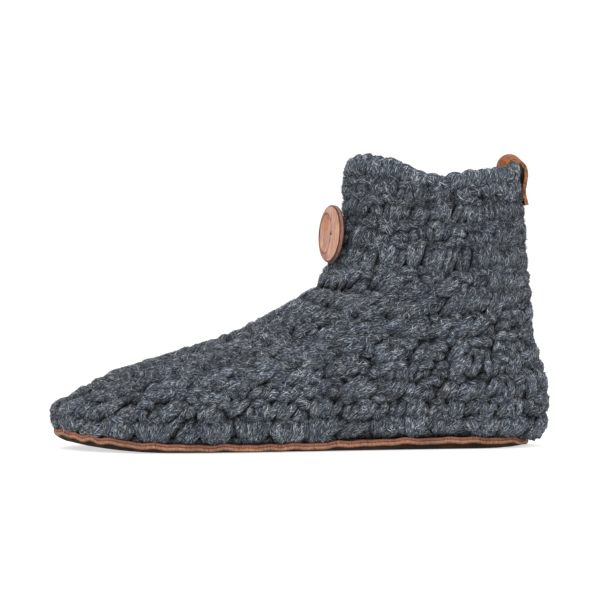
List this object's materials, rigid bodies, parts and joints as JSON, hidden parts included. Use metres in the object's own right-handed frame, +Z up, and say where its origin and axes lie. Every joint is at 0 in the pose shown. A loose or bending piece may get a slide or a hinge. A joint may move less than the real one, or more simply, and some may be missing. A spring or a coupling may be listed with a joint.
{
  "type": "wool slipper",
  "caption": "Ankle-high crocheted wool slipper boot with a buttoned front flap, thin leather sole and heel pull loop.",
  "frame": {"origin": "on the floor, under the middle of the shoe's bounding box", "axes": "+X towards the heel, +Y towards the inner side of the foot, +Z up from the floor"},
  "size_m": [0.262, 0.1026, 0.1539],
  "materials": {
    "wool": "chunky crocheted wool, heathered blue-grey",
    "sole_leather": "vegetable-tanned leather with a bare cut edge",
    "felt": "felted wool",
    "button_wood": "smooth oiled wood",
    "yarn": "wool yarn",
    "loop_leather": "tan leather strip"
  },
  "bodies": {
    "root": {"upper": "wool", "outsole": "sole_leather", "insole": "felt", "button": "button_wood", "button_stem": "yarn", "pull_loop": "loop_leather"}
  },
  "joints": []
}
